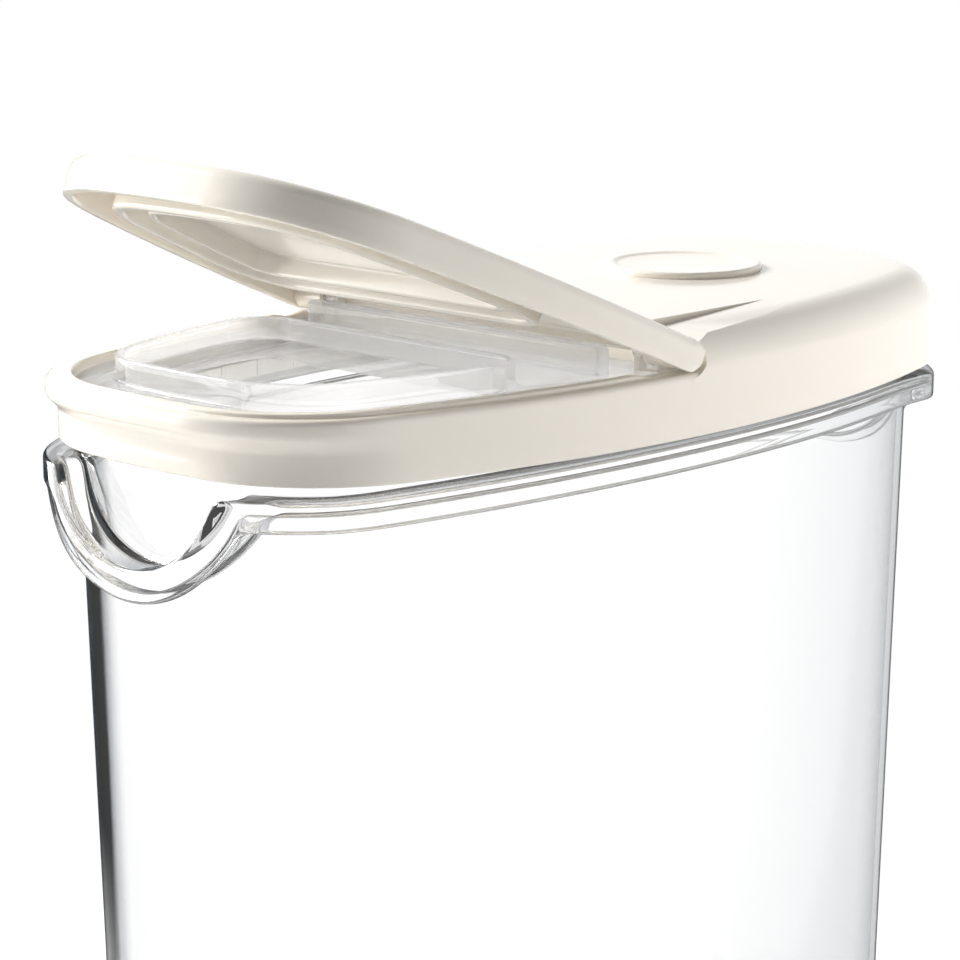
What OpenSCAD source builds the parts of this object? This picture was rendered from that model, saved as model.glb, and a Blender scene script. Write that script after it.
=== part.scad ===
// Cereal container with a lift-off lid and a flip-up pouring flap.
// The nose with the spout points along -X and the hinge axis lies along Y.
// The origin is on the floor, under the middle of the lid's length and width.

/* [Lid outline] */
// Length of the lid, from nose to rear
lid_l = 207; // [190:1:230]
// Width of the lid at its widest point
lid_w = 110; // [100:1:124]
// Where the lid is widest, measured from the middle of its length
widest_x = -1.8; // [-8:0.1:6]
// Radius of the long gently bowed sides
side_r = 265; // [230:1:400]
// Radius of the blunt nose
nose_r = 240; // [150:1:400]
// Radius of the two corners beside the nose
nose_corner_r = 33; // [30:0.5:36]
// Radius of the bowed rear end
rear_r = 83; // [76:1:120]
// Radius of the two rear corners
rear_corner_r = 31; // [28:0.5:36]

/* [Container] */
// Height from the floor to the lower edge of the lid
lid_z = 210; // [160:1:280]
// Wall thickness of the container
body_wall = 2.2; // [1.6:0.1:3]
// How far the wall stands inside the lid's outline, at its mouth
body_inset = 5; // [5:0.1:7]
// How much further back the container's nose stands
body_nose_back = 1.3; // [1.3:0.1:3]
// Slope of the walls, in degrees from upright
body_draft = 1.3; // [0.5:0.1:2.4]
// How much further back the base stands than the mouth
base_shift = 0.4; // [0:0.1:3]
// Thickness of the floor
floor_t = 2.6; // [2:0.1:4]
// Rounding where the walls meet the floor
base_r = 9; // [4:0.5:14]
// How far the mouth stands up inside the lid
neck_h = 7.6; // [6.5:0.1:7.6]

/* [Lifting flange] */
// How far the flange stands out past the lid
flange_out = 0.8; // [0:0.1:3]
// Thickness of the flange and of its lip
flange_t = 2.3; // [1.6:0.1:3]
// Height of the flange's turned-down lip
flange_h = 5.6; // [4:0.1:8]
// Gap between the lid's lower edge and the flange, at the rear
flange_gap = 0.4; // [0.3:0.1:1]
// How much lower the flange lies near the nose
flange_drop = 1.9; // [0:0.1:3]
// Radius of the round thumb notch
notch_r = 23.4; // [20:0.1:24]
// Height of the notch's centre above the flange's top
notch_rise = 7.5; // [5:0.1:8]
// Thickness of the flange under the notch
notch_web = 4; // [2.3:0.1:4.4]
// Height of the lip under the notch
notch_lip = 6.3; // [4.5:0.1:7]
// Rounding where the notch runs out into the flange
notch_blend = 3; // [1:0.5:5]

/* [Lid frame] */
// Height of the lid's side at the front
side_h = 12.4; // [12:0.1:15]
// Height of the lid at its rear
cover_h = 20.3; // [19.9:0.1:22]
// Wall thickness of the lid frame and of the flap
lid_wall = 2.2; // [1.8:0.1:2.3]
// Rounding along the top edge of the rear cover
cover_r = 8; // [5:0.5:8]
// Thickness of the top of the rear cover
cover_top_t = 2.6; // [2.2:0.1:3]
// How far the lip at the nose overhangs the side
lip_out = 3.7; // [0:0.1:4.5]
// Thickness of the lid frame's top round the spout
frame_top_t = 2.4; // [2:0.1:3]
// Width of the ledge that the flap closes on
ledge_w = 2.6; // [2.4:0.1:3]
// Height of the raised rim inside that ledge
rim_h = 0.8; // [0.4:0.1:1]
// Width of the raised rim
rim_w = 2.6; // [2:0.1:3]

/* [Spout insert] */
// Thickness of the clear plate
deck_t = 2; // [1.6:0.1:2.4]
// Height of the deck round the spout, above the lid's lower edge
deck_h = 11.5; // [11:0.1:11.8]
// How far the pouring collar stands inside the lid's outline
collar_inset = 13.3; // [12.8:0.1:15]
// Wall thickness of the pouring collar
collar_wall = 1.8; // [1.4:0.1:2]
// Height of the collar's rim, above the lid's lower edge
collar_h = 16.5; // [14:0.1:16.5]
// Distance from the hinge axis to the back of the collar
collar_back = 25.2; // [22:0.1:32]
// Corner radius at the back of the collar
collar_corner_r = 9; // [6:0.5:12]
// Thickness of the cross rib behind the collar
rib_t = 3.8; // [2.5:0.1:4.5]
// Height of the cross rib above the deck
rib_h = 5.6; // [3:0.1:5.8]
// Distance from the hinge axis to the back of the cross rib
rib_back = 7.2; // [6:0.1:9]
// Length of the cross rib
rib_l = 81.4; // [60:0.2:82]
// Thickness of the plug wall that fits inside the mouth
plug_wall = 1.8; // [1.4:0.1:2.4]
// How far the plug wall reaches below the clear plate
plug_h = 7.4; // [6:0.1:10]
// Height of the sealing ring
gasket_h = 3.4; // [2.4:0.1:4]
// Thickness of the sealing ring
gasket_t = 1.9; // [1.4:0.1:2.6]

/* [Flap and hinge] */
// How far the flap stands open
flap_open = 22.9; // [0:0.1:100]
// Distance from the middle of the lid to the hinge axis, forward
hinge_fwd = 10.3; // [6:0.1:14]
// Radius of the round end of the flap's arms
arm_r = 3.3; // [3:0.05:3.7]
// Gap between the closed flap and the ledge
flap_gap = 0.3; // [0.2:0.05:0.6]
// Height of the flap
flap_h = 7.4; // [7.2:0.1:8.4]
// Thickness of the flap's top
flap_top_t = 1.8; // [1.4:0.1:2]
// Rounding along the flap's top edge
flap_edge_r = 2.2; // [1:0.1:3]
// Diameter of the hinge pins
pin_d = 2.4; // [2:0.1:2.6]
// Play of a pin in its bore, all round
pin_play = 0.06; // [0.04:0.01:0.1]
// Wall of the eye round a bore
eye_wall = 1.1; // [0.8:0.1:1.2]
// Thickness of the eye
eye_t = 3; // [2:0.1:4]
// Width of the stem under each hinge eye
eye_stem = 3.4; // [3:0.1:3.6]
// Width of the arm scoops in the rear cover, from the side of the lid
scoop_w = 15.5; // [14:0.1:18]
// Gap round the arm ends in their scoops
scoop_gap = 1.2; // [0.8:0.1:1.6]
// Depth of the ramps behind the scoops
ramp_depth = 1.6; // [0.5:0.1:2]
// Length of the ramps behind the hinge axis
ramp_l = 40; // [20:1:60]

/* [Flap seal] */
// Width of the flap liner's outer ring
ring_w = 2.5; // [1.6:0.1:2.8]
// Gap between the liner's rings and the collar
ring_gap = 1.2; // [0.8:0.1:1.6]
// How far the outer ring stands below the flap's edge
ring_proud = 0.3; // [0:0.1:0.5]
// Width of the inner ring
inner_ring_w = 1.8; // [1.2:0.1:2.4]
// How much shorter the inner ring is than the outer one
inner_ring_short = 1; // [0:0.1:2]
// Thickness of the liner's plate
liner_t = 0.9; // [0.8:0.1:1.2]
// Thickness of the soft seal in the groove
seal_t = 0.6; // [0.4:0.1:0.6]

/* [Badge] */
// Diameter of the round badge on the rear cover
badge_d = 33.6; // [24:0.2:40]
// Distance from the hinge axis to the middle of the badge
badge_back = 60.8; // [50:0.1:64]
// Depth of the shallow dish in the badge's top
badge_dish = 0.4; // [0:0.1:0.6]
// Height of the badge above the cover
badge_h = 1.4; // [0.6:0.1:2]
// Depth of the badge's pocket
badge_pocket = 0.8; // [0.4:0.1:1.2]
// Width of the rim round the badge's dish
badge_rim = 2.2; // [1.4:0.1:4]

/* [Hidden] */
clear_c = [0.86, 0.92, 0.94, 0.45];
cream_c = [0.93, 0.90, 0.84];
seal_c = [0.96, 0.95, 0.92];
far = 400;              // larger than the part, for cutting
overlap = 0.01;         // joins two forms that only touch
spare = 1;              // how far a cutting form reaches past what it cuts
fit_gap = 0.3;          // between the lid and the container
seat_gap = 0.25;        // between pieces of one assembly that drop together
nose_x = -lid_l / 2;
rear_x = lid_l / 2;
half_w = lid_w / 2;
hinge_x = -hinge_fwd;
flap_z0 = side_h + flap_gap;        // lower edge of the closed flap
flap_z1 = flap_z0 + flap_h;         // top of the closed flap
hinge_z = flap_z0 + arm_r;
scoop_r = arm_r + scoop_gap;
strip_y = half_w - scoop_w;         // inner end of the arm scoops
cover_x = hinge_x + scoop_r + 1.6;  // front face of the rear cover, between the scoops
opening_in = ledge_w + rim_w;       // inset of the spout's opening in the lid frame
plate_z1 = side_h - frame_top_t;    // top of the hidden part of the clear plate
plate_z0 = plate_z1 - deck_t;
gasket_lip = 0.8;                   // thickness of each of the gasket's soft lips
plug_foot = 0.9;                    // the plug wall below the lower bead that holds the gasket
gasket_z = plate_z0 - plug_h + gasket_lip + plug_foot;
gasket_in = wall_inset(lid_z + gasket_z) + body_wall + fit_gap;
plug_in = gasket_in + gasket_t;
collar_x = hinge_x - collar_back;
foot_w = 3;             // width of the ring that the container stands on
foot_recess = 0.8;      // depth of the base inside that ring
flange_root = 0.75;     // share of the wall's thickness that the flange reaches into
notch_x = nose_x + 16;  // the flange is level from here to the nose, and likewise at the rear
sweep_front = 20;       // the flange's top falls forward of here,
sweep_rear = 58;        // and behind here
lip_z = 6.3;            // where the lid's side starts to lean out to the lip
lip_t = 2.8;            // thickness of the lip at the nose
edge_r = 0.8;           // rounding along the ledge
hook_w = 14;            // width, thickness, reach and spacing of the hooks under the plate
hook_t = 1.2;
hook_reach = 1.7;
hook_step = 60;
eye_y = strip_y + 2;    // inner face of a hinge eye
eye_r = pin_d / 2 + pin_play + eye_wall;
boss_less = 0.2;        // how much smaller than the arm's round end the boss on its pin is
flap_flat = 70;         // the flap's top is level forward of this distance from the hinge
ring_out = ring_gap + ring_w;
inner_grow = -collar_wall - ring_gap;
liner_z = flap_z1 - flap_top_t - liner_t;   // underside of the liner's plate
badge_edge = 0.4;       // bevel along the badge's top

// ---- The lid's outline: tangent arcs, mirrored about the long axis ----

// Centre of the corner arc that touches the side arc and an end arc from inside
function corner_centre(side_c, end_c, end_r, corner_r, turn) =
    let (d = norm(end_c - side_c), u = (end_c - side_c) / d,
        r1 = side_r - corner_r, r2 = end_r - corner_r,
        along = (r1 * r1 - r2 * r2 + d * d) / (2 * d),
        across = sqrt(max(0, r1 * r1 - along * along)))
    side_c + u * along + [-u[1], u[0]] * across * turn;

// Direction from one point to another, from 0 to 360 degrees
function heading(a, b) =
    let (t = atan2(b[1] - a[1], b[0] - a[0])) t < 0 ? t + 360 : t;

// Points on an arc, without its last one
function arc_points(c, r, a0, a1, n) =
    [for (i = [0 : n - 1]) let (a = a0 + (a1 - a0) * i / n) c + r * [cos(a), sin(a)]];

// The outline moved outward by out; its nose may be set back by nose_back
function outline_points(out = 0, nose_back = 0) =
    let (side_c = [widest_x, side_r - half_w],
        nose_c = [nose_x + nose_back + nose_r, 0],
        rear_c = [rear_x - rear_r, 0],
        front_corner = corner_centre(side_c, nose_c, nose_r, nose_corner_r, -1),
        rear_corner = corner_centre(side_c, rear_c, rear_r, rear_corner_r, 1),
        a1 = heading(nose_c, front_corner), a2 = heading(side_c, front_corner),
        a3 = heading(side_c, rear_corner), a4 = heading(rear_c, rear_corner),
        half = concat(
            arc_points(nose_c, nose_r + out, 180, a1, 3),
            arc_points(front_corner, nose_corner_r + out, a1, a2, 12),
            arc_points(side_c, side_r + out, a2, a3, 14),
            arc_points(rear_corner, rear_corner_r + out, a3, a4, 12),
            arc_points(rear_c, rear_r + out, a4, 360, 6)))
    concat(half, [[rear_c[0] + rear_r + out, 0]],
        [for (i = [len(half) - 1 : -1 : 1]) [half[i][0], -half[i][1]]]);

module outline(out = 0, nose_back = 0) polygon(outline_points(out, nose_back));

// The band between two outlines; the nose of each may be set back
module ring(out, inner, out_back = 0, inner_back = 0) difference() {
    outline(out, out_back);
    outline(inner, inner_back);
}

// The part of the outline that lies forward of x, with round back corners
module spout_shape(inset, back_x, corner_r) {
    offset(r = corner_r, $fn = 48) offset(delta = -corner_r) intersection() {
        outline(-inset);
        translate([-far, -far / 2]) square([far + back_x, far]);
    }
}

// A closed form through the outline at several levels, each [height, out, nose_back];
// lean moves its foot to the rear
module loft(levels, lean = 0) {
    rings = [for (l = levels) [for (p = outline_points(l[1], l[2]))
        [p[0] + lean * (1 - l[0] / lid_z), p[1], l[0]]]];
    n = len(rings[0]);
    top = len(levels) - 1;
    polyhedron(
        points = [for (ring = rings, p = ring) p],
        faces = concat(
            [[for (i = [0 : n - 1]) i]],
            [[for (i = [n - 1 : -1 : 0]) top * n + i]],
            [for (k = [0 : top - 1], i = [0 : n - 1], half = [0, 1])
                let (j = (i + 1) % n, low = k * n, high = low + n)
                half == 0 ? [low + i, high + i, high + j] : [low + i, high + j, low + j]]));
}

module layer(z, h) translate([0, 0, z]) linear_extrude(h) children();

module at_lid() translate([0, 0, lid_z]) children();

// Turns what is drawn closed into the flap's open place
module at_flap() at_lid() translate([hinge_x, 0, hinge_z]) rotate([0, flap_open, 0])
    translate([-hinge_x, 0, -hinge_z]) children();

// A rod along Y, on the hinge axis, from y0 to y1
module hinge_rod(d, y0, y1) translate([hinge_x, y1, hinge_z]) rotate([90, 0, 0])
    cylinder(d = d, h = y1 - y0, $fn = 48);

module both_sides() for (side = [0, 1]) mirror([0, side, 0]) children();

// ---- Container ----

// Inset of the wall at a height above the floor
function wall_inset(z) = body_inset + (lid_z + neck_h - z) * tan(body_draft);

// The container's outer form, or its inner one with wall > 0
module container_form(wall, z0, z1, r) {
    steps = 6;
    foot = [for (i = [0 : steps]) let (a = 90 * i / steps, z = z0 + r * (1 - cos(a)))
        [z, -wall_inset(z) - wall - r * (1 - sin(a)), body_nose_back]];
    loft(concat(foot, [[z1, -wall_inset(z1) - wall, body_nose_back]]), base_shift);
}

// Height of the flange's top above the lid's lower edge: it falls towards both ends
function flange_top(x) =
    let (front = (sweep_front - max(x, notch_x)) / (sweep_front - notch_x),
        rear = (min(x, -notch_x) - sweep_rear) / (-notch_x - sweep_rear))
    -flange_gap - flange_drop * pow(max(0, front, rear), 2);
notch_top = flange_top(notch_x);

// Side view of the flange, t thick
module flange_side(t) {
    xs = [for (i = [0 : 20]) notch_x * (1 - i / 10)];
    polygon(concat(
        [for (x = xs) [x, flange_top(x)]],
        [for (i = [len(xs) - 1 : -1 : 0]) [xs[i], flange_top(xs[i]) - t]]));
}

// End view of all that lies below a level line and outside a round notch
module below_line(z, r) offset(r = notch_blend, $fn = 40) offset(delta = -notch_blend) difference() {
    translate([-far / 2, z - far]) square([far, far]);
    translate([0, notch_top + notch_rise]) circle(r = r, $fn = 80);
}

// The flange's form in height: t thick on the straight, t_notch thick round the notches
module flange_band(t, t_notch) {
    for (end = [0, 1]) mirror([end, 0, 0]) translate([-far, 0, 0])
        rotate([90, 0, 90]) linear_extrude(far + notch_x) difference() {
            below_line(notch_top, notch_r);
            below_line(notch_top - t, notch_r + t_notch);
        }
    rotate([90, 0, 0]) linear_extrude(far, center = true) flange_side(t);
}

module flange_part(inner, inner_back, t, t_notch) intersection() {
    layer(-far / 2, far) ring(flange_out, inner, 0, inner_back);
    flange_band(t, t_notch);
}

module container() color(clear_c) {
    rim_z = lid_z + neck_h;
    foot_in = wall_inset(0) + base_r + foot_w;
    difference() {
        container_form(0, 0, rim_z, base_r);
        container_form(body_wall, floor_t, rim_z + spare, base_r - body_wall);
        layer(-spare, spare + foot_recess) translate([base_shift, 0])
            outline(-foot_in, body_nose_back);
    }
    at_lid() flange_part(-wall_inset(lid_z) - body_wall * flange_root, body_nose_back,
        flange_t, notch_web);
    at_lid() flange_part(flange_out - flange_t, 0, flange_h, notch_lip);
}

// ---- Lid frame ----

module side_form() loft([
    [0, 0, lip_out],
    [lip_z, 0, lip_out],
    [side_h - lip_t, 0, 0],
    [side_h - edge_r, 0, 0],
    [side_h - 0.3 * edge_r, -0.3 * edge_r, 0],
    [side_h, -edge_r, 0]]);

// The rim profile from a vertical side to a level top, as levels of a loft
function rounded_top(wall, z1, r, steps) = [for (i = [0 : steps]) let (a = 90 * i / steps)
    [z1 - r + r * sin(a), -wall - r * (1 - cos(a)), 0]];

// The domed form of the rear cover, or its inside with wall > 0
module cover_form(wall, z0, z1, r)
    loft(concat([[z0, -wall, 0]], rounded_top(wall, z1, r, 7)));

module behind(x) translate([x, -far / 2, -far / 2]) cube([far, far, far]);

module cover_outside() difference() {
    intersection() {
        cover_form(0, side_h - lip_t, cover_h, cover_r);
        union() {
            behind(cover_x);
            both_sides() translate([0, strip_y, 0]) intersection() {
                behind(hinge_x);
                translate([-far / 2, 0, -far / 2]) cube([far, far, far]);
            }
        }
    }
    both_sides() scoop();
}

// Room for an arm of the flap, with the ramp behind it
module scoop() {
    intersection() {
        hinge_rod(scoop_r * 2, strip_y, far / 4);
        layer(side_h, far) square([far, far], center = true);
    }
    translate([0, far / 4, 0]) rotate([90, 0, 0]) linear_extrude(far / 4 - strip_y) polygon([
        [hinge_x - spare, cover_h + spare],
        [hinge_x - spare, cover_h - ramp_depth],
        [hinge_x + scoop_r, cover_h - ramp_depth],
        [hinge_x + ramp_l, cover_h],
        [hinge_x + ramp_l, cover_h + spare]]);
}

// Hooks inside the side wall that the clear plate snaps over
module hooks() intersection() {
    layer(plate_z0 - hook_t, hook_t)
        ring(-lid_wall / 2, -lid_wall - hook_reach, lip_out, lip_out);
    for (x = [-hook_step, 0, hook_step]) translate([x, 0, plate_z0])
        cube([hook_w, far, far / 4], center = true);
}

module lid_frame() color(cream_c) at_lid() {
    difference() {
        union() {
            side_form();
            cover_outside();
            raised_rim();
        }
        layer(-spare, plate_z1 + spare) outline(-lid_wall, lip_out);
        intersection() {
            cover_form(lid_wall, -spare, cover_h - cover_top_t, cover_r - lid_wall);
            behind(cover_x + lid_wall);
        }
        layer(plate_z1 - overlap, side_h - plate_z1 + 2 * overlap) difference() {
            outline(-opening_in);
            translate([cover_x, -far / 2]) square(far);
        }
        badge_seat();
    }
    hooks();
}

// The rim inside the ledge; it ends ahead of the flap's arms
module raised_rim() intersection() {
    layer(side_h - spare, rim_h + spare) ring(-ledge_w, -opening_in);
    translate([hinge_x - 2 * scoop_r - far, -far / 2, 0]) cube([far, far, far]);
}

module badge_seat() translate([hinge_x + badge_back, 0, cover_h - badge_pocket])
    cylinder(d = badge_d + 2 * pin_play, h = far, $fn = 120);

// ---- Clear insert: plate, deck, pouring collar, cross rib, hinge eyes, plug wall ----

module eye() difference() {
    union() {
        hinge_rod(2 * eye_r, eye_y, eye_y + eye_t);
        translate([hinge_x - eye_stem / 2, eye_y, plate_z1 - overlap])
            cube([eye_stem, eye_t, hinge_z - plate_z1]);
    }
    hinge_rod(pin_d + 2 * pin_play, eye_y - spare, eye_y + eye_t + spare);
}

module cross_rib() translate([hinge_x - rib_back - rib_t, -rib_l / 2, plate_z1])
    cube([rib_t, rib_l, deck_h - plate_z1 + rib_h]);

// A band that follows the container's mouth
module mouth_ring(out, inner) ring(out, inner, body_nose_back, body_nose_back);

module spout_insert() color(clear_c) at_lid() {
    difference() {
        union() {
            layer(plate_z0, deck_t) outline(-lid_wall - seat_gap, lip_out);
            layer(plate_z1 - overlap, deck_h - plate_z1 + overlap) intersection() {
                outline(-opening_in - seat_gap);
                translate([cover_x - seat_gap - far, -far / 2]) square(far);
            }
            layer(plate_z0, collar_h - plate_z0)
                spout_shape(collar_inset, collar_x, collar_corner_r);
        }
        layer(plate_z0 - spare, collar_h - plate_z0 + 2 * spare)
            spout_shape(collar_inset + collar_wall, collar_x - collar_wall,
                collar_corner_r - collar_wall);
    }
    cross_rib();
    both_sides() eye();
    layer(plate_z0 - plug_h, plug_h) mouth_ring(-plug_in, -plug_in - plug_wall);
    for (z = [gasket_z - gasket_lip, gasket_z + gasket_h])
        layer(z, gasket_lip) mouth_ring(-plug_in + gasket_t / 2, -plug_in);
}

// ---- Sealing ring round the plug wall, with two soft lips ----

module lid_gasket() color(seal_c) at_lid() {
    layer(gasket_z, gasket_h) mouth_ring(-plug_in + gasket_t * 0.6, -plug_in);
    for (z = [gasket_z, gasket_z + gasket_h - gasket_lip])
        layer(z, gasket_lip) mouth_ring(-gasket_in, -plug_in);
}

// ---- Flap: shell with arms and pins, liner with two rings, soft seal ----

// Side view of the flap, drawn closed, shrunk by t
module flap_side(t) hull() {
    translate([hinge_x, hinge_z]) circle(r = arm_r - t, $fn = 48);
    translate([hinge_x - flap_flat - far, flap_z0 + t]) square([far, flap_h - 2 * t]);
}

module flap_form() loft(concat([[flap_z0, 0, 0]], rounded_top(0, flap_z1, flap_edge_r, 5)));

// Slot in the round rear end of an arm, open behind, for the eye and its stem
module eye_slot() {
    slot_r = eye_r + fit_gap;
    hinge_rod(2 * slot_r, eye_y - fit_gap, eye_y + eye_t + fit_gap);
    translate([hinge_x, eye_y - fit_gap, hinge_z - far / 2])
        cube([far, eye_t + 2 * fit_gap, far / 2 + slot_r]);
}

module flap_shell() color(cream_c) at_flap() {
    difference() {
        intersection() {
            flap_form();
            rotate([90, 0, 0]) linear_extrude(far, center = true) flap_side(0);
        }
        intersection() {
            layer(0, far) outline(-lid_wall);
            rotate([90, 0, 0]) linear_extrude(far, center = true) union() {
                flap_side(flap_top_t);
                translate([-far, hinge_z - far]) square([2 * far, far]);
            }
        }
        both_sides() eye_slot();
    }
    both_sides() {
        hinge_rod(pin_d, eye_y - fit_gap, half_w - lid_wall / 2);
        hinge_rod(2 * (arm_r - boss_less), eye_y + eye_t + fit_gap, half_w - lid_wall / 2);
    }
}

module liner_ring(grow, w, z0) layer(z0, liner_z - z0 + overlap) difference() {
    spout_shape(collar_inset - grow, collar_x + grow, collar_corner_r + grow);
    spout_shape(collar_inset - grow + w, collar_x + grow - w, collar_corner_r + grow - w);
}

module flap_liner() color(cream_c) at_flap() {
    intersection() {
        layer(liner_z, liner_t)
            spout_shape(collar_inset - ring_out, collar_x + ring_out, collar_corner_r + ring_out);
        rotate([90, 0, 0]) linear_extrude(far, center = true) flap_side(flap_top_t);
    }
    liner_ring(ring_out, ring_w, flap_z0 - ring_proud);
    liner_ring(inner_grow, inner_ring_w, flap_z0 - ring_proud + inner_ring_short);
}

module flap_seal() color(seal_c) at_flap() layer(liner_z - seal_t, seal_t) difference() {
    spout_shape(collar_inset - ring_gap, collar_x + ring_gap, collar_corner_r + ring_gap);
    spout_shape(collar_inset - inner_grow, collar_x + inner_grow, collar_corner_r + inner_grow);
}

// ---- Round badge, blank, pressed into the rear cover ----

module badge() color(cream_c) at_lid() translate([hinge_x + badge_back, 0, cover_h - badge_pocket]) {
    r = badge_d / 2;
    top = badge_pocket + badge_h;
    rotate_extrude($fn = 120) polygon([
        [0, 0],
        [r, 0],
        [r, top - badge_edge],
        [r - badge_edge, top],
        [r - badge_rim, top],
        [r - badge_rim - 2 * badge_dish, top - badge_dish],
        [0, top - badge_dish]]);
}

container();
lid_frame();
spout_insert();
lid_gasket();
flap_shell();
flap_liner();
flap_seal();
badge();
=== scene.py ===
"""A clear cereal container with a cream lid, a clear spout insert and a flap that tips up."""
import math
import bmesh
import bpy
import numpy as np
from mathutils import Matrix


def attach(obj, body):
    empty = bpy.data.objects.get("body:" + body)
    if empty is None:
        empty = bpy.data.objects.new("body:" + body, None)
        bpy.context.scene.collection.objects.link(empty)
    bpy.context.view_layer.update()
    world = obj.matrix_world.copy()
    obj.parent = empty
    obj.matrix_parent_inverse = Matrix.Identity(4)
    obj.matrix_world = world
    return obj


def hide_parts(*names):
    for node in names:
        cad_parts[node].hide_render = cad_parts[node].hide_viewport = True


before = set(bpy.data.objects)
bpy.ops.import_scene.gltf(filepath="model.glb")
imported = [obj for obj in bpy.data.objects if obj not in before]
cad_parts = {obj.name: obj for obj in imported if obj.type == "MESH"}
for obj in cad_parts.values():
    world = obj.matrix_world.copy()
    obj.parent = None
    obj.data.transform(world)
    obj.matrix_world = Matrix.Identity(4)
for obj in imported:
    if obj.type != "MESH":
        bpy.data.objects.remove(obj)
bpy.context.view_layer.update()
scene = bpy.context.scene
scene.view_settings.view_transform = "Standard"


# ---- Studio ----
# A tabletop product set: a white sweep that shows white through clear plastic, a key lamp above
# and beyond the far side, a card off the nose, and a low fill to the rear of the near side. The
# camera looks slightly down.
CAMERA_AT = (-0.46238, -0.43722, 0.33184)
CAMERA_AXES = ((0.69383, 0.15786, -0.70260), (-0.72014, 0.15209, -0.67650), (0.0, 0.97568, 0.21920))
camera = bpy.data.objects.new("camera", bpy.data.cameras.new("camera"))
scene.collection.objects.link(camera)
camera.matrix_world = Matrix.Translation(CAMERA_AT) @ Matrix(CAMERA_AXES).to_4x4()
camera.data.sensor_width = 36
camera.data.lens = 119.35
camera.data.shift_x = -0.0107
camera.data.shift_y = 0.0156
camera.data.clip_end = 200
scene.camera = camera
# clear walls stand many layers deep, and light runs on inside them
for bounces in ("max_bounces", "transmission_bounces", "glossy_bounces", "transparent_max_bounces"):
    setattr(scene.cycles, bounces, 24)


def lin(code):
    """An sRGB hex colour as a linear RGBA, by the sRGB curve."""
    c = np.array([int(code[i:i + 2], 16) for i in (1, 3, 5)]) / 255
    return (*np.where(c <= 0.04045, c / 12.92, ((c + 0.055) / 1.055) ** 2.4), 1.0)


def add(tree, kind, links=(), **settings):
    """Adds a node. A setting named in_X fills the input socket X, by name or number; links are (output
    socket, input) pairs."""
    node = tree.nodes.new(kind)
    for key, value in settings.items():
        if key.startswith("in_"):
            name = key[3:].replace("_", " ")
            node.inputs[int(name) if name.isdigit() else name].default_value = value
        else:
            setattr(node, key, value)
    for source, name in links:
        tree.links.new(source, node.inputs[name])
    return node


def new_tree(holder):
    """An empty node tree on a material or the world."""
    holder.use_nodes = True
    holder.node_tree.nodes.clear()
    return holder.node_tree


SWEEP_WHITE = 1.10      # the overlit white sweep, as it shows through clear walls
MIRRORED_WHITE = 1.20   # the same sweep, as gloss mirrors it
FLAG_DARK, CARD_GREY = 0.06, 0.75   # a dark flag and a grey card, which clear edges pick up
FLAG_AT = (0.104, 0.989, -0.105)   # the way to the flag: nearly level, beyond the far side
FLAG_EDGE = (0.83, 0.89)   # cosines of the angles at which the flag ends and is full
PAPER_LIT = (0.16, 0.42)   # from here to there, in metres, lit paper passes into the plain white sweep
AMBIENT = 0.22   # the light that reaches the object from all round


def shown_level(tree, towards):
    """How bright the set shows in the direction towards: white straight and through clear walls, and
    white where gloss mirrors it. Light that was mirrored inside a clear wall comes from a grey card.
    Either way a dark flag stands low beyond the far side."""
    path = add(tree, "ShaderNodeLightPath")
    unit = add(tree, "ShaderNodeVectorMath", [(towards, 0)], operation="NORMALIZE")
    flag = add(tree, "ShaderNodeVectorMath", [(unit.outputs["Vector"], 0)], operation="DOT_PRODUCT",
               in_1=FLAG_AT)
    inner, outer = [add(tree, "ShaderNodeMapRange", [(flag.outputs["Value"], "Value")],
                        interpolation_type="SMOOTHSTEP", in_From_Min=FLAG_EDGE[0], in_From_Max=FLAG_EDGE[1],
                        in_To_Min=beside, in_To_Max=FLAG_DARK)
                    for beside in (CARD_GREY, MIRRORED_WHITE)]
    inside = add(tree, "ShaderNodeMath", [(path.outputs["Glossy Depth"], 0)], operation="GREATER_THAN",
                 in_1=0.5)
    bright = add(tree, "ShaderNodeMath", [(path.outputs["Is Transmission Ray"], 0)],
                 operation="MULTIPLY", in_1=SWEEP_WHITE)
    straight = add(tree, "ShaderNodeMath", [(bright.outputs[0], 0), (path.outputs["Is Camera Ray"], 1)],
                   operation="MAXIMUM")
    kept = add(tree, "ShaderNodeMix",
               [(inside.outputs[0], 0), (straight.outputs[0], 2), (inner.outputs["Result"], 3)])
    grey = add(tree, "ShaderNodeMath",
               [(path.outputs["Is Reflection Ray"], 0), (outer.outputs["Result"], 1)], operation="MULTIPLY")
    level = add(tree, "ShaderNodeMath", [(kept.outputs[0], 0), (grey.outputs[0], 1)], operation="MAXIMUM")
    either = add(tree, "ShaderNodeMath", [(path.outputs["Is Glossy Ray"], 0), (straight.outputs[0], 1)],
                 operation="MAXIMUM")
    seen = add(tree, "ShaderNodeMath", [(either.outputs[0], 0)], operation="MINIMUM", in_1=1.0)
    return level.outputs[0], seen.outputs[0], path


world = bpy.data.worlds.new("studio")
scene.world = world
tree = new_tree(world)
around = add(tree, "ShaderNodeTexCoord")
level, seen, _ = shown_level(tree, around.outputs["Generated"])
ambient = add(tree, "ShaderNodeBackground", in_Color=lin("#FFFFFF"), in_Strength=AMBIENT)
shown = add(tree, "ShaderNodeBackground", [(level, "Strength")], in_Color=lin("#FFFFFF"))
mixed = add(tree, "ShaderNodeMixShader", [(seen, 0), (ambient.outputs[0], 1), (shown.outputs[0], 2)])
add(tree, "ShaderNodeOutputWorld", [(mixed.outputs[0], "Surface")])

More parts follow.
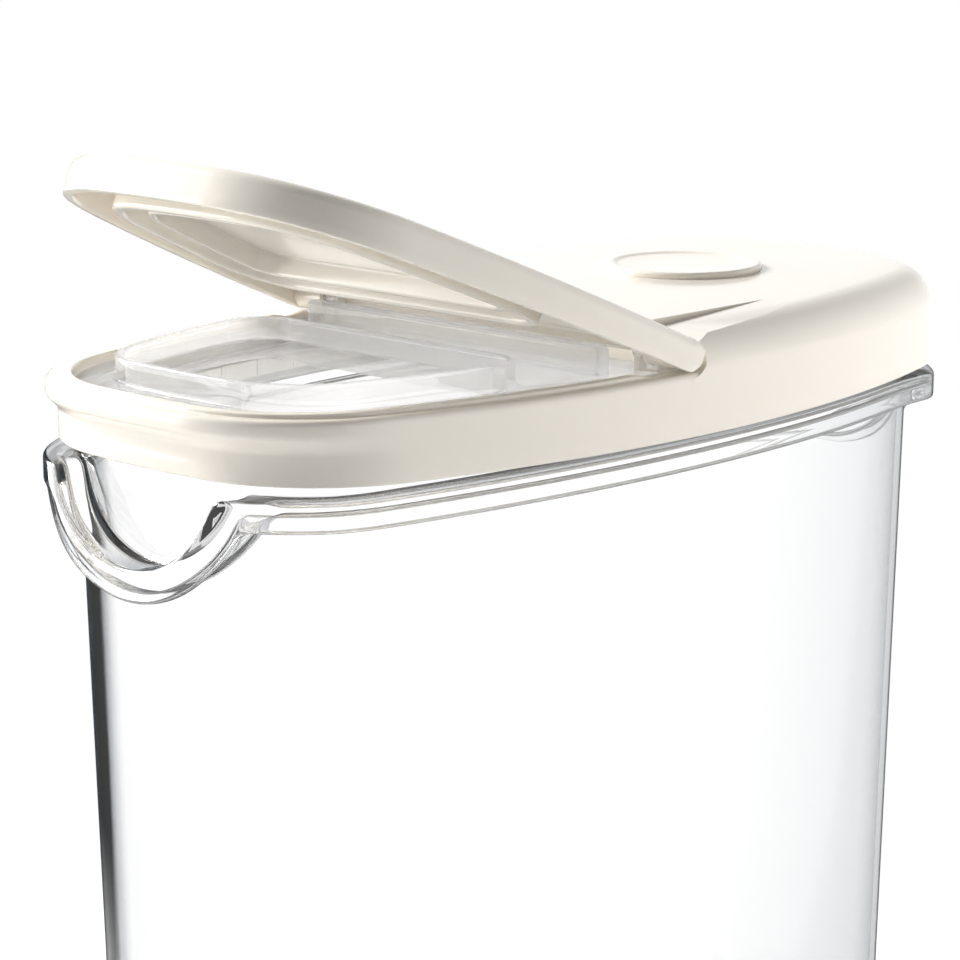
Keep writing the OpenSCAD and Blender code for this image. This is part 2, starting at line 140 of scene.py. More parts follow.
paper = bpy.data.materials.new("paper_sweep_matt_white")
tree = new_tree(paper)
where = add(tree, "ShaderNodeTexCoord")
level, seen, path = shown_level(tree, where.outputs["Object"])
matt = add(tree, "ShaderNodeBsdfDiffuse", in_Color=lin("#F7F7F7"))
glow = add(tree, "ShaderNodeEmission", [(level, "Strength")], in_Color=lin("#FFFFFF"))
span = add(tree, "ShaderNodeVectorMath", [(where.outputs["Object"], 0)], operation="LENGTH")
away = add(tree, "ShaderNodeMapRange", [(span.outputs["Value"], "Value")], interpolation_type="SMOOTHSTEP",
           in_From_Min=PAPER_LIT[0], in_From_Max=PAPER_LIT[1])
lit = add(tree, "ShaderNodeMath", [(path.outputs["Is Transmission Ray"], 0), (away.outputs["Result"], 1)],
          operation="MAXIMUM")
share = add(tree, "ShaderNodeMath", [(seen, 0), (lit.outputs[0], 1)], operation="MULTIPLY")
mixed = add(tree, "ShaderNodeMixShader",
            [(share.outputs[0], 0), (matt.outputs[0], 1), (glow.outputs[0], 2)])
add(tree, "ShaderNodeOutputMaterial", [(mixed.outputs[0], "Surface")])


def put(name, points, faces, material):
    """A smooth mesh object at the origin from points (n, 3) in millimetres and faces (m, k)."""
    mesh = bpy.data.meshes.new(name)
    mesh.from_pydata((np.asarray(points, float) * 0.001).tolist(), [], [list(map(int, f)) for f in faces])
    mesh.polygons.foreach_set("use_smooth", np.ones(len(mesh.polygons), bool))
    mesh.materials.append(material)
    mesh.update()
    obj = bpy.data.objects.new(name, mesh)
    scene.collection.objects.link(obj)
    return obj


FLOOR_R, FLOOR_DROP, FLOOR_SIDES = 30000.0, 0.2, 64   # a wide round sheet, just clear of the foot
turn = np.linspace(0, 2 * np.pi, FLOOR_SIDES, endpoint=False)
floor = put("floor", np.stack([FLOOR_R * np.cos(turn), FLOOR_R * np.sin(turn), 0 * turn - FLOOR_DROP], 1),
            [range(FLOOR_SIDES)], paper)


def lamp(name, at, aim, size, watts, mirrored=True):
    """A soft rectangular lamp at a place, turned to a point; size is (width, height) in metres. It
    isn't seen through clear walls, nor in gloss unless it is mirrored."""
    data = bpy.data.lights.new(name, "AREA")
    data.shape = "RECTANGLE"
    data.size, data.size_y = size
    data.energy = watts
    obj = bpy.data.objects.new(name, data)
    obj.visible_glossy, obj.visible_transmission = mirrored, False
    scene.collection.objects.link(obj)
    back = np.array(at, float) - np.array(aim, float)
    back /= np.linalg.norm(back)
    side = np.cross([0, 0, 1], back)
    side /= np.linalg.norm(side)
    rows = np.stack([side, np.cross(back, side), back], 1)
    obj.matrix_world = Matrix.Translation(at) @ Matrix(rows.tolist()).to_4x4()


lamp("key", (-0.42, 1.10, 0.95), (0, 0, 0.15), (0.6, 0.5), 30.5)
lamp("fill", (1.50, -1.20, 0.15), (0, 0, 0.17), (1.2, 0.3), 29, mirrored=False)
lamp("nose_card", (-0.275, 0.4975, 0.23), (-0.08, -0.0698, 0.23), (0.60, 0.30), 3.1)


# ---- Container ----
# A tall clear tub with drafted walls, a rounded foot and a lifting flange with a thumb
# notch at each end. Injection moulded in one piece from styrene acrylonitrile.
LID_L, LID_W, LID_Z = 207.0, 110.0, 210.0
WIDEST_X, SIDE_R = -1.8, 265.0
NOSE_R, NOSE_CORNER_R, REAR_R, REAR_CORNER_R = 240.0, 33.0, 83.0, 31.0
FINE = (96, 44, 50, 44, 120)   # columns on each arc of half the outline
COARSE = (24, 40, 50, 40, 36)


def outline(counts=COARSE, nose_back=0.0):
    """The lid's outline as tangent arcs, from the nose tip round to it again: (centres, radii,
    directions), so that a point moved outward by out is centre + (radius + out) * direction. Each
    corner arc's centre is where two circles meet, shrunk from the side arc and an end arc by the
    corner's radius."""
    side_c = np.array([WIDEST_X, SIDE_R - LID_W / 2])
    nose_c = np.array([-LID_L / 2 + nose_back + NOSE_R, 0.0])
    rear_c = np.array([LID_L / 2 - REAR_R, 0.0])

    def corner(end_c, end_r, r, turn):
        gap = end_c - side_c
        d = np.linalg.norm(gap)
        u = gap / d
        along = ((SIDE_R - r) ** 2 - (end_r - r) ** 2 + d * d) / (2 * d)
        across = math.sqrt(max(0.0, (SIDE_R - r) ** 2 - along ** 2))
        return side_c + u * along + np.array([-u[1], u[0]]) * across * turn

    def heading(a, b):
        return math.atan2(b[1] - a[1], b[0] - a[0]) % (2 * math.pi)

    front = corner(nose_c, NOSE_R, NOSE_CORNER_R, -1)
    rear = corner(rear_c, REAR_R, REAR_CORNER_R, 1)
    stops = [math.pi, heading(nose_c, front), heading(side_c, front),
             heading(side_c, rear), heading(rear_c, rear), 2 * math.pi]
    turns = [np.linspace(a, b, n, endpoint=False) for a, b, n in zip(stops, stops[1:], counts)]
    turns = np.concatenate(turns + [[2 * math.pi]])
    which = np.repeat(np.arange(5), counts).tolist() + [4]
    centres = np.array([nose_c, front, side_c, rear, rear_c])[which]
    radii = np.array([NOSE_R, NOSE_CORNER_R, SIDE_R, REAR_CORNER_R, REAR_R])[which]
    ways = np.stack([np.cos(turns), np.sin(turns)], 1)
    back = slice(len(turns) - 2, 0, -1)
    flip = np.array([1.0, -1.0])
    return (np.concatenate([centres, centres[back] * flip]), np.concatenate([radii, radii[back]]),
            np.concatenate([ways, ways[back] * flip]))


def row(out, z, counts=COARSE, nose_back=0.0, lean=0.0):
    """One closed row of points (n, 3): the outline moved outward by out, at height z; lean moves its
    foot to the rear."""
    centres, radii, ways = outline(counts, nose_back)
    out = np.broadcast_to(np.asarray(out, float), radii.shape)
    xy = centres + (radii + out)[:, None] * ways
    z = np.broadcast_to(np.asarray(z, float), radii.shape)
    return np.stack([xy[:, 0] + lean * (1 - z / LID_Z), xy[:, 1], z], 1)


def skin(rows, closed=False):
    """Points and faces of a surface through closed rows (k, n, 3), without rows that repeat: quads
    between neighbours, and a fan to a pole at each end row's middle, or, if closed, the last row joined
    to the first."""
    rows = np.asarray([rows[0]] + [b for a, b in zip(rows, rows[1:]) if np.abs(a - b).max() > 1e-3])
    k, n = rows.shape[:2]
    i = np.arange(n)
    j = (i + 1) % n
    pairs = [(a, (a + 1) % k) for a in range(k if closed else k - 1)]
    faces = [np.stack([a * n + i, a * n + j, b * n + j, b * n + i], 1) for a, b in pairs]
    faces = [tuple(f) for f in np.concatenate(faces)]
    points = rows.reshape(-1, 3)
    if not closed:
        points = np.concatenate([points, [rows[0].mean(0)], [rows[-1].mean(0)]])
        faces += [(k * n, b, a) for a, b in zip(i, j)]
        faces += [(k * n + 1, (k - 1) * n + a, (k - 1) * n + b) for a, b in zip(i, j)]
    return points, faces


def bend(out0, z0, out1, z1, steps=5, first="z"):
    """A quarter of an ellipse between two points of a profile, as (out, z) pairs; it leaves the first
    point along first."""
    a = np.linspace(0, np.pi / 2, steps)
    if first == "z":
        return [(out1 + (out0 - out1) * math.cos(t), z0 + (z1 - z0) * math.sin(t)) for t in a]
    return [(out0 + (out1 - out0) * math.sin(t), z1 + (z0 - z1) * math.cos(t)) for t in a]


BODY_WALL, BODY_INSET, NOSE_BACK, BODY_DRAFT, BASE_SHIFT = 2.2, 5.0, 1.3, 1.3, 0.4
FLOOR_T, BASE_R, FOOT_W, FOOT_RECESS = 2.6, 9.0, 3.0, 0.8
RIM_Z, RIM_R = 217.6, 1.0
FLANGE_OUT, FLANGE_T, FLANGE_H, FLANGE_GAP, FLANGE_DROP = 0.79, 2.3, 5.6, 0.4, 1.9
NOTCH_R, NOTCH_RISE, NOTCH_WEB, NOTCH_LIP, NOTCH_BLEND, NOTCH_X = 23.4, 7.5, 4.0, 6.3, 3.0, -87.5
SWEEP_FRONT, SWEEP_REAR = 20.0, 58.0
ROOT_R, CORNER_R, LIP_R = 1.0, 0.5, 0.9   # the fillet under the flange, its inside corners, its edges


def wall_inset(z):
    """How far the wall stands inside the outline at a height."""
    return BODY_INSET + (RIM_Z - z) * math.tan(math.radians(BODY_DRAFT))


def flange_level(x):
    """Height of the flange's top: level in the middle, falling by a parabola towards both ends."""
    front = (SWEEP_FRONT - np.maximum(x, NOTCH_X)) / (SWEEP_FRONT - NOTCH_X)
    rear = (np.minimum(x, -NOTCH_X) - SWEEP_REAR) / (-NOTCH_X - SWEEP_REAR)
    return LID_Z - FLANGE_GAP - FLANGE_DROP * np.maximum(0, np.maximum(front, rear)) ** 2


def flange_face(x, y, drop, reach):
    """Height of a face of the flange, drop below its top: the falling line, and at both ends a round
    notch of radius NOTCH_R + reach, run out by a fillet on each side."""
    top = float(flange_level(np.float64(NOTCH_X)))
    low, r, b, a = top - drop, NOTCH_R + reach, NOTCH_BLEND, np.abs(y)
    end = math.sqrt((r + b) ** 2 - (NOTCH_RISE + drop + b) ** 2)
    start = r * end / (r + b)
    dip = np.where(a < start, top + NOTCH_RISE - np.sqrt(np.maximum(r * r - a * a, 0)),
                   np.where(a < end, low - b + np.sqrt(np.maximum(b * b - (a - end) ** 2, 0)), low))
    return np.where((np.abs(x) > -NOTCH_X) & (a < end), dip, flange_level(x) - drop)


def container_rows():
    """The tub's section as (out, z) pairs, from the middle of its underside out, up the outer wall,
    round the flange, over the rim, down the inner wall and in over the floor. The flange's faces rise
    and fall with the notches."""
    rows = []

    def ring(out, z, nose=NOSE_BACK, lean=BASE_SHIFT):
        rows.append(row(out, z, FINE, nose, lean))

    def lip_ring(out, z, share=0.0):
        ring(out, z, NOSE_BACK * share, BASE_SHIFT * share)

    def at(out, drop, reach):
        p = row(out, LID_Z, FINE)
        return flange_face(p[:, 0], p[:, 1], drop, reach)

    foot_in = wall_inset(0) + BASE_R
    for share in (0.2, 0.6):
        p = row(-foot_in - FOOT_W, FOOT_RECESS, FINE, NOSE_BACK, BASE_SHIFT)
        middle = p.mean(0)
        rows.append(middle + (p - middle) * share)
    for out, z in (bend(-foot_in - FOOT_W - 0.5, FOOT_RECESS, -foot_in - FOOT_W, 0.3, 4, "out")
                   + bend(-foot_in - FOOT_W, 0.3, -foot_in - FOOT_W + 0.4, 0, 4)):
        ring(out, z)
    for a in np.linspace(0, np.pi / 2, 10):
        z = BASE_R * (1 - math.cos(a))
        ring(-wall_inset(z) - BASE_R * (1 - math.sin(a)), z)
    # up to the underside of the flange, then along it and round its lip; the faces' heights are taken
    # where the underside meets the wall, at the lip's foot, and where the top meets the neck
    web = at(-8, FLANGE_T, NOTCH_WEB)
    lip = at(0, FLANGE_H, NOTCH_LIP)
    top = at(-4, 0, 0)
    for f in (0.1, 0.25, 0.45, 0.65, 0.8, 0.9, 0.95, 0.98):
        z = BASE_R + (web - ROOT_R - BASE_R) * f
        ring(-wall_inset(z), z)
    wall_out = -wall_inset(web - ROOT_R)
    for a in np.linspace(0, np.pi / 2, 5):
        ring(wall_out + ROOT_R * (1 - math.cos(a)), web - ROOT_R * (1 - math.sin(a)))
    lip_in = FLANGE_OUT - FLANGE_T
    for f in (0.3, 0.6, 1.0):
        lip_ring((wall_out + ROOT_R) * (1 - f) + (lip_in - CORNER_R) * f, web, 1 - f)
    web_out = at(lip_in, FLANGE_T, NOTCH_WEB)
    for a in np.linspace(0, np.pi / 2, 5)[1:]:
        lip_ring(lip_in - CORNER_R * (1 - math.sin(a)), web_out - CORNER_R * (1 - math.cos(a)))
    lip_ring(lip_in, (web_out - CORNER_R + lip + LIP_R) / 2)
    for a in np.linspace(0, np.pi / 2, 5):
        lip_ring(lip_in + LIP_R * (1 - math.cos(a)), lip + LIP_R * (1 - math.sin(a)))
    for a in np.linspace(0, np.pi / 2, 5):
        lip_ring(FLANGE_OUT - LIP_R * (1 - math.sin(a)), lip + LIP_R * (1 - math.cos(a)))
    rise = at(FLANGE_OUT, 0, 0)
    for f in (0.5, 1.0):
        lip_ring(FLANGE_OUT, (lip + LIP_R) * (1 - f) + (rise - LIP_R) * f)
    for a in np.linspace(0, np.pi / 2, 6)[1:]:
        lip_ring(FLANGE_OUT - LIP_R * (1 - math.cos(a)), rise - LIP_R * (1 - math.sin(a)))
    neck = -wall_inset(top + CORNER_R)
    for f in (0.35, 0.7, 1.0):
        lip_ring((FLANGE_OUT - LIP_R) * (1 - f) + (neck + CORNER_R) * f, top, f)
    for a in np.linspace(0, np.pi / 2, 4)[1:]:
        ring(neck + CORNER_R * (1 - math.sin(a)), top + CORNER_R * (1 - math.cos(a)))
    # the neck, its round rim, and back down inside
    for f in (0.4, 0.8, 1.0):
        z = (top + CORNER_R) * (1 - f) + (RIM_Z - RIM_R) * f
        ring(-wall_inset(z), z)
    rim_in = -BODY_INSET - BODY_WALL
    for out, z in (bend(-BODY_INSET, RIM_Z - RIM_R, -BODY_INSET - RIM_R, RIM_Z, 5)[1:]
                   + bend(rim_in + RIM_R, RIM_Z, rim_in, RIM_Z - RIM_R, 5, "out")):
        ring(out, z)
    r = BASE_R - BODY_WALL
    for f in (0.02, 0.05, 0.1, 0.2, 0.4, 0.6, 0.8, 0.95):
        z = RIM_Z - RIM_R + (FLOOR_T + r - RIM_Z + RIM_R) * f
        ring(-wall_inset(z) - BODY_WALL, z)
    for a in np.linspace(0, np.pi / 2, 9):
        z = FLOOR_T + r * (1 - math.sin(a))
        ring(-wall_inset(z) - BODY_WALL - r * (1 - math.cos(a)), z)
    middle = rows[-1].mean(0)
    rows.extend([middle + (rows[-1] - middle) * 0.6, middle + (rows[-1] - middle) * 0.2])
    return rows


# Styrene acrylonitrile: clear and stiff, glossy off polished moulds, with faint ripples where the
# melt flowed. Its slate cast deepens the more a wall is seen along its length; that is partly the
# plastic's own tint over long paths and partly painted shade for dark surroundings. At the very
# edge it shows plain slate, a painted dark edge.
clear = bpy.data.materials.new("styrene_acrylonitrile_moulded_clear")
tree = new_tree(clear)
where = add(tree, "ShaderNodeTexCoord")
ripple = add(tree, "ShaderNodeTexNoise", [(where.outputs["Object"], "Vector")], in_Scale=45.0, in_Detail=1.0)
bump = add(tree, "ShaderNodeBump", [(ripple.outputs["Fac"], "Height")], in_Strength=0.08, in_Distance=0.0006)
edge = add(tree, "ShaderNodeLayerWeight", in_Blend=0.5)
# Partly painted shade: this ramp darkens the glass's colour as a wall is seen more edge-on, part tint over
# long paths, part painted dark surroundings.
tint = add(tree, "ShaderNodeValToRGB", [(edge.outputs["Facing"], "Fac")])
tint_and_painted_shade = ((0.42, "#FFFFFF"), (0.50, "#F0F1F2"), (0.60, "#DCDEE0"), (0.68, "#BEC2C5"), (0.78, "#858B90"),
        (1.00, "#2C3238"))
while len(tint.color_ramp.elements) < len(tint_and_painted_shade):
    tint.color_ramp.elements.new(0.5)
for element, (at, colour) in zip(tint.color_ramp.elements, tint_and_painted_shade):
    element.position, element.color = at, lin(colour)
glass = add(tree, "ShaderNodeBsdfPrincipled",
            [(tint.outputs["Color"], "Base Color"), (bump.outputs["Normal"], "Normal")],
            in_Roughness=0.015, in_IOR=1.57, in_Transmission_Weight=1.0)
# Painted shade: right at the silhouette a slate diffuse takes over from the glass, a painted dark edge
# standing in for the dark surroundings there.
rim = add(tree, "ShaderNodeMapRange", [(edge.outputs["Facing"], "Value")], interpolation_type="SMOOTHSTEP",
          in_From_Min=0.78, in_From_Max=0.90, in_To_Max=0.85)
painted_edge_shade = add(tree, "ShaderNodeBsdfDiffuse", in_Color=lin("#23282D"))
walled = add(tree, "ShaderNodeMixShader",
             [(rim.outputs["Result"], 0), (glass.outputs[0], 1), (painted_edge_shade.outputs[0], 2)])
path = add(tree, "ShaderNodeLightPath")
let_by = add(tree, "ShaderNodeBsdfTransparent", in_Color=lin("#F8F9F9"))
mixed = add(tree, "ShaderNodeMixShader",
            [(path.outputs["Is Shadow Ray"], 0), (walled.outputs[0], 1), (let_by.outputs[0], 2)])
add(tree, "ShaderNodeOutputMaterial", [(mixed.outputs[0], "Surface")])

tub = put("tub_moulded", *skin(container_rows()), clear)
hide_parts("container")
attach(tub, "container")

# ---- Lid frame ----
# The rim that snaps over the tub: a skirt with an overhanging lip at the nose, a ledge round
# the spout and a domed rear cover. Gloss moulded in ABS; hooks inside hold the clear insert.
LID_WALL, LIP_OUT, LIP_Z, SIDE_H, COVER_H, COVER_R = 2.2, 3.7, 6.3, 12.4, 20.3, 8.0
LEDGE_W, RIM_W, RIM_H, RIM_FADE, PLATE_TOP = 2.6, 2.6, 0.8, 3.0, 10.0
SKIRT_R, EDGE_R = 0.5, 1.1   # rounding of the skirt's lower edges and along the ledge
HINGE_X, ARM_R, SCOOP_R, STRIP_Y, EYE_Y, EYE_T = -10.3, 3.3, 4.5, 39.5, 41.5, 3.0
FLAP_Z0, FLAP_Z1 = 12.7, 20.1
HINGE_Z = FLAP_Z0 + ARM_R
COVER_X = HINGE_X + SCOOP_R + 1.6
RAMP_FROM, RAMP_DEPTH, RAMP_L = 8.0, 1.35, 40.0   # the ramps that run out behind the flap's arms
BADGE_X, BADGE_R, BADGE_POCKET = HINGE_X + 60.8, 16.8, 0.8


def frame_rows():
    """The frame's ring section as a closed profile: up the skirt, over the ledge and the raised rim,
    down the opening, out under the ledge and down inside the skirt. The rim's height fades by a smooth
    step just ahead of the flap's arms."""
    rows = []

    def ring(out, z, nose=0.0):
        rows.append(row(out, LID_Z + np.asarray(z), nose_back=nose))

    for a in np.linspace(0, np.pi / 2, 4):
        ring(-SKIRT_R * (1 - math.sin(a)), SKIRT_R * (1 - math.cos(a)), LIP_OUT)
    ring(0, 3.0, LIP_OUT)
    for f in np.linspace(0, 1, 9):
        ring(0, LIP_Z - 0.6 + (SIDE_H - 2.8 - LIP_Z + 0.9) * f, LIP_OUT * (1 - f * f * (3 - 2 * f)))
    ring(0, SIDE_H - EDGE_R - 0.5)
    for out, z in bend(0, SIDE_H - EDGE_R, -EDGE_R, SIDE_H, 6):
        ring(out, z)
    x = row(-LEDGE_W, 0)[:, 0]
    f = np.clip((HINGE_X - 2 * SCOOP_R - x) / RIM_FADE, 0, 1)
    rise = RIM_H * np.maximum(f * f * (3 - 2 * f), 0.05)
    for out, z in ([(-1.8, 0)] + bend(-LEDGE_W + 0.3, 0, -LEDGE_W, 0.3, 4, "out")
                   + bend(-LEDGE_W, 0.6, -LEDGE_W - 0.4, 1, 4)):
        ring(out, SIDE_H + rise * z)
    for out, z in bend(-LEDGE_W - RIM_W + 0.5, 1, -LEDGE_W - RIM_W, 0.5, 4, "out"):
        ring(out, SIDE_H + rise * z - (0.0 if z == 1 else 0.35 * (1 - z)))
    ring(-LEDGE_W - RIM_W, SIDE_H - 1.2)
    ring(-LEDGE_W - RIM_W, PLATE_TOP)
    ring(-3.6, PLATE_TOP, LIP_OUT * 0.6)
    ring(-LID_WALL, PLATE_TOP, LIP_OUT)
    ring(-LID_WALL, 6.0, LIP_OUT)
    for out, z in bend(-LID_WALL, SKIRT_R, -LID_WALL + SKIRT_R, 0, 4):
        ring(out, z, LIP_OUT)
    return rows


def prism(loop, y0, y1):
    """Points and faces of a bar along Y: the side view loop (n, 2) of x and z, turned anticlockwise,
    carried from y0 to the larger y1."""
    loop = np.asarray(loop, float)
    x, z = loop.T
    if np.sum(x * np.roll(z, -1) - np.roll(x, -1) * z) < 0:
        loop = loop[::-1]
    n = len(loop)
    ends = [np.stack([loop[:, 0], np.full(n, y), loop[:, 1]], 1) for y in (y0, y1)]
    faces = [(i, n + i, n + (i + 1) % n, (i + 1) % n) for i in range(n)]
    return np.concatenate(ends), faces + [tuple(range(n)), tuple(range(2 * n - 1, n - 1, -1))]


def arc(x, z, r, a0, a1, n=24):
    """Points on an arc about (x, z), from angle a0 to a1 in degrees."""
    a = np.radians(np.linspace(a0, a1, n))
    return list(zip(x + r * np.cos(a), z + r * np.sin(a)))


def combine(obj, others, operation):
    """obj with others joined on or cut away by exact booleans; where faces meet at an angle the edge
    stays crisp."""
    for other in others:
        m = obj.modifiers.new("cut", "BOOLEAN")
        m.operation, m.solver, m.object = operation, "EXACT", other
        done = bpy.data.meshes.new_from_object(obj.evaluated_get(bpy.context.evaluated_depsgraph_get()))
        obj.modifiers.clear()
        obj.data = done
        bpy.data.objects.remove(other)
    welded = bmesh.new()
    welded.from_mesh(obj.data)
    bmesh.ops.remove_doubles(welded, verts=welded.verts, dist=2e-6)
    welded.to_mesh(obj.data)
    welded.free()
    obj.data.polygons.foreach_set("use_smooth", np.ones(len(obj.data.polygons), bool))
    obj.data.set_sharp_from_angle(angle=math.radians(28))
    return obj


# ABS in a warm cream: opaque and glossy off a polished mould, with the faint unevenness that
# moulded gloss shows in its reflections.
cream = bpy.data.materials.new("abs_moulded_gloss_cream")
tree = new_tree(cream)
where = add(tree, "ShaderNodeTexCoord")
flow = add(tree, "ShaderNodeTexNoise", [(where.outputs["Object"], "Vector")], in_Scale=14.0, in_Detail=2.0)
tone = add(tree, "ShaderNodeMix", [(flow.outputs["Fac"], 0)], data_type="RGBA",
           in_6=lin("#EEE7DB"), in_7=lin("#F0EADF"))
gloss = add(tree, "ShaderNodeMapRange", [(flow.outputs["Fac"], "Value")], in_To_Min=0.10, in_To_Max=0.15)
peel = add(tree, "ShaderNodeTexNoise", [(where.outputs["Object"], "Vector")], in_Scale=160.0, in_Detail=2.0)
bump = add(tree, "ShaderNodeBump", [(peel.outputs["Fac"], "Height")], in_Strength=0.10, in_Distance=0.0002)
body = add(tree, "ShaderNodeBsdfPrincipled",
           [(tone.outputs[2], "Base Color"), (gloss.outputs["Result"], "Roughness"),
            (bump.outputs["Normal"], "Normal")], in_IOR=1.53)
add(tree, "ShaderNodeOutputMaterial", [(body.outputs[0], "Surface")])

skirt = put("lid_skirt_moulded", *skin(frame_rows(), closed=True), cream)
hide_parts("lid_frame")

COVER_OUT, COVER_FOOT = 0.02, SIDE_H - 2.4
top = [(COVER_OUT, COVER_FOOT), (COVER_OUT, SIDE_H - 0.6), (COVER_OUT, COVER_H - COVER_R)]
top += bend(COVER_OUT, COVER_H - COVER_R, -COVER_R, COVER_H, 18)[1:]
rows = [row(out, LID_Z + z) for out, z in
        [(-14.0, COVER_FOOT), (-3.0, COVER_FOOT)] + top + [(-12.0, COVER_H), (-20.0, COVER_H)]]
cover = put("lid_cover_moulded", *skin(rows), cream)
WELL_SIDE, WELL_TOP, WELL_R = 11.9, 17.7, 5.8
WIDE, HIGH, FAR = 90, 400, -300   # well past the lid, so that a cutter goes right through it
well = [(-22.0, 0), (-LID_WALL, 0), (-LID_WALL, WELL_SIDE)]
well += [(out - LID_WALL, z) for out, z in bend(0, WELL_SIDE, -WELL_R, WELL_TOP, 8)] + [(-22.0, WELL_TOP)]
well = put("well", *skin([row(out, LID_Z + z) for out, z in well]), cream)


def upright(x0, x1, z0=0):
    """The side view of a cutter from x0 to x1, open upwards."""
    return [(x0, z0), (x1, z0), (x1, HIGH), (x0, HIGH)]


combine(well, [put("rest", *prism(upright(FAR, COVER_X + LID_WALL, -50), -200, 200), cream)], "DIFFERENCE")
front = [put("ahead", *prism(upright(FAR, HINGE_X), -WIDE, WIDE), cream),
         put("middle", *prism(upright(HINGE_X - 5, COVER_X), -STRIP_Y, STRIP_Y), cream)]
for span in ((STRIP_Y - 0.1, WIDE), (-WIDE, 0.1 - STRIP_Y)):
    scoop = arc(HINGE_X, LID_Z + HINGE_Z, SCOOP_R, -150, 24, 40)
    scoop += [(HINGE_X + RAMP_FROM, LID_Z + COVER_H - RAMP_DEPTH),
              (HINGE_X + RAMP_L, LID_Z + COVER_H + 0.01), (HINGE_X + RAMP_L, HIGH), (HINGE_X - 20, HIGH)]
    front.append(put("scoop", *prism(scoop, *span), cream))
turn = np.linspace(0, 2 * np.pi, 120, endpoint=False)
SEAT_R = BADGE_R + 0.06
seat = [np.stack([BADGE_X + SEAT_R * np.cos(turn), SEAT_R * np.sin(turn), 0 * turn + z], 1)
        for z in (LID_Z + COVER_H - BADGE_POCKET, LID_Z + COVER_H + 3)]
combine(cover, [well] + front + [put("seat", *skin(seat), cream)], "DIFFERENCE")
cover.parent = skirt

HOOK_W, HOOK_T, HOOK_REACH, HOOK_STEP, HOOK_TOP = 14.0, 1.2, 1.7, 60.0, 7.98


def hook_rows(middle, side):
    """A hook's section, from inside the wall to its chamfered tip, carried along X over the hook's
    width; at each x its corners lie on the outline moved inward. side is 1 or -1."""
    x = np.linspace(middle - HOOK_W / 2, middle + HOOK_W / 2, 8)
    low, tip = HOOK_TOP - HOOK_T, -LID_WALL - HOOK_REACH
    corners = []
    for out, z in ((-LID_WALL / 2, HOOK_TOP), (-LID_WALL / 2, low), (tip + 0.4, low), (tip, low + 0.4),
                   (tip, HOOK_TOP)):
        line = row(out, z, nose_back=LIP_OUT)
        line = line[line[:, 1] > 0]
        line = line[np.argsort(line[:, 0])]
        corners.append(np.stack([x, side * np.interp(x, line[:, 0], line[:, 1]), 0 * x + LID_Z + z], 1))
    return np.stack(corners, 1)[::-side]


for name, middle in (("front", -HOOK_STEP), ("middle", 0.0), ("rear", HOOK_STEP)):
    for tag, side in (("left", 1), ("right", -1)):
        hook = put(f"lid_hook_{name}_{tag}", *skin(hook_rows(middle, side)), cream)
        hook.data.set_sharp_from_angle(angle=math.radians(40))
        hook.parent = skirt
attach(skirt, "lid")

# ---- Badge ----
# A plain round disc with a thin raised rim, pressed into a pocket in the rear cover.
# Moulded in the same cream ABS; blank.
BADGE_FOOT, BADGE_TOP = COVER_H - BADGE_POCKET, COVER_H + 1.4
BADGE_RIM, BADGE_EDGE, BADGE_DISH = 2.2, 0.6, 0.4
RIM_IN = BADGE_R - BADGE_RIM
side = [(BADGE_R - 0.3, BADGE_FOOT), (BADGE_R, BADGE_FOOT + 0.3), (BADGE_R, BADGE_TOP - BADGE_EDGE)]
side += [(BADGE_R - BADGE_EDGE * (1 - math.cos(a)), BADGE_TOP - BADGE_EDGE * (1 - math.sin(a)))
         for a in np.linspace(0, np.pi / 2, 6)[1:]]
side += [(RIM_IN + 0.5, BADGE_TOP), (RIM_IN, BADGE_TOP - 0.06), (RIM_IN - 0.5, BADGE_TOP - 0.34),
         (RIM_IN - 1.0, BADGE_TOP - BADGE_DISH), (5.0, BADGE_TOP - BADGE_DISH)]
turn = np.linspace(0, 2 * np.pi, 144, endpoint=False)
rows = [np.stack([BADGE_X + r * np.cos(turn), r * np.sin(turn), 0 * turn + LID_Z + z], 1) for r, z in side]
badge = put("badge_disc_moulded", *skin(rows), cream)
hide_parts("badge")
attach(badge, "lid")

# ---- Spout insert ----
# A clear plate that snaps under the frame, with a raised deck, the pouring collar, a cross rib,
# two hinge eyes and the plug wall that enters the tub. Moulded in one piece, in polypropylene.
COLLAR_IN, COLLAR_BACK, COLLAR_R, COLLAR_WALL, COLLAR_H = 13.3, HINGE_X - 25.2, 9.0, 1.8, 16.5
DECK_H, PLATE_Z, PLUG_T, PLUG_H = 11.5, 8.0, 1.8, 7.4
GASKET_T, GASKET_Z = 1.9, 2.3
FIT_GAP, SEAT_GAP = 0.3, 0.25   # to the container, and to the frame that holds the insert
RIB_X, RIB_T, RIB_L, RIB_TOP = HINGE_X - 9.1, 3.8, 81.4, 17.1
PIN_R, PIN_PLAY, EYE_WALL, POST_W = 1.2, 0.06, 1.1, 3.4


